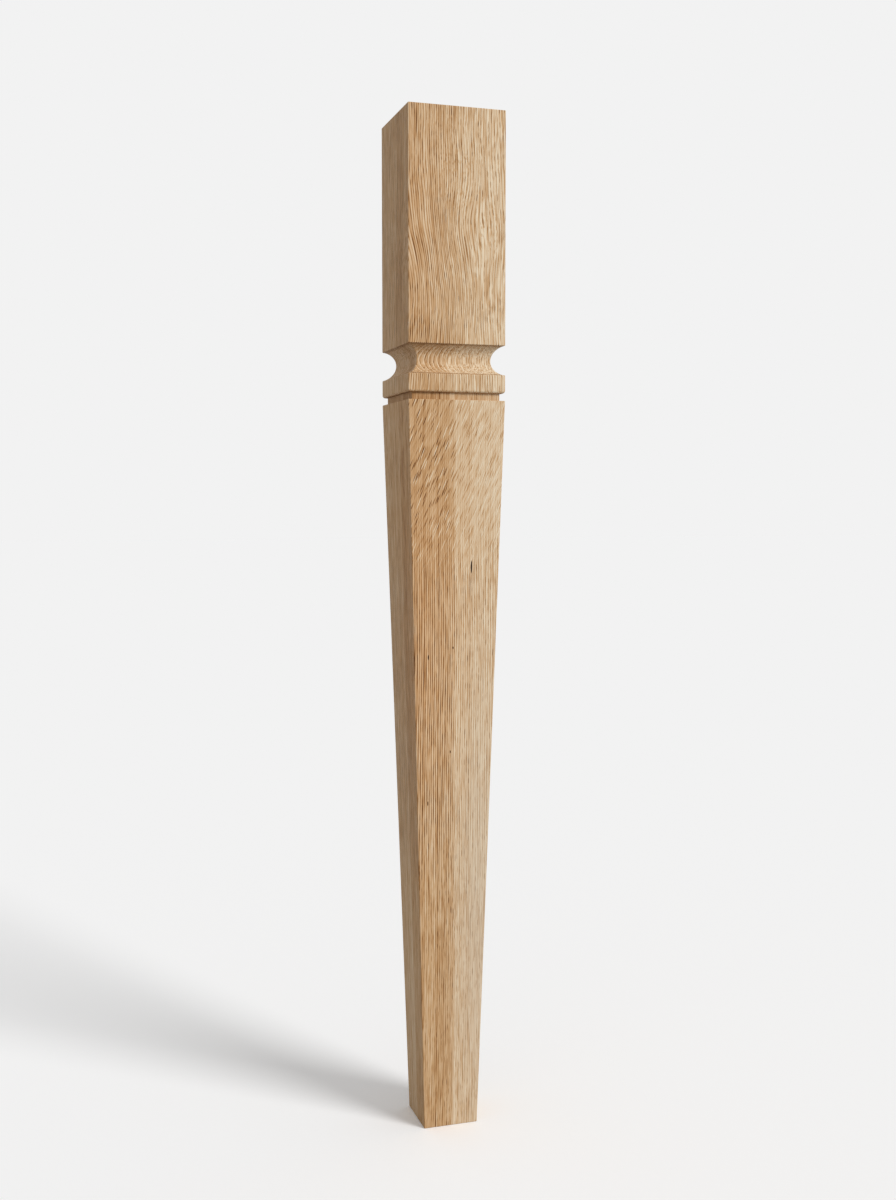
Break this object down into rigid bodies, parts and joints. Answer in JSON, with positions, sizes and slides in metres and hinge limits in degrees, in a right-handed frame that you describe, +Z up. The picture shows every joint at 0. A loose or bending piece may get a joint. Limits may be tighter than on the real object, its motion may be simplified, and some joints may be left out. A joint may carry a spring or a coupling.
{
  "type": "kitchen island leg",
  "caption": "Square oak leg with a plain top block, a mitred cove, band and groove below it, and a taper on all four sides to a square foot.",
  "frame": {"origin": "centre of the square foot, at the level of the floor", "axes": "+Z up the leg's centre line, X and Y square to its four sides"},
  "size_m": [0.0888, 0.0888, 0.9144],
  "materials": {
    "oak": "sanded, unfinished natural oak"
  },
  "bodies": {
    "root": {"island_leg": "oak"}
  },
  "joints": []
}
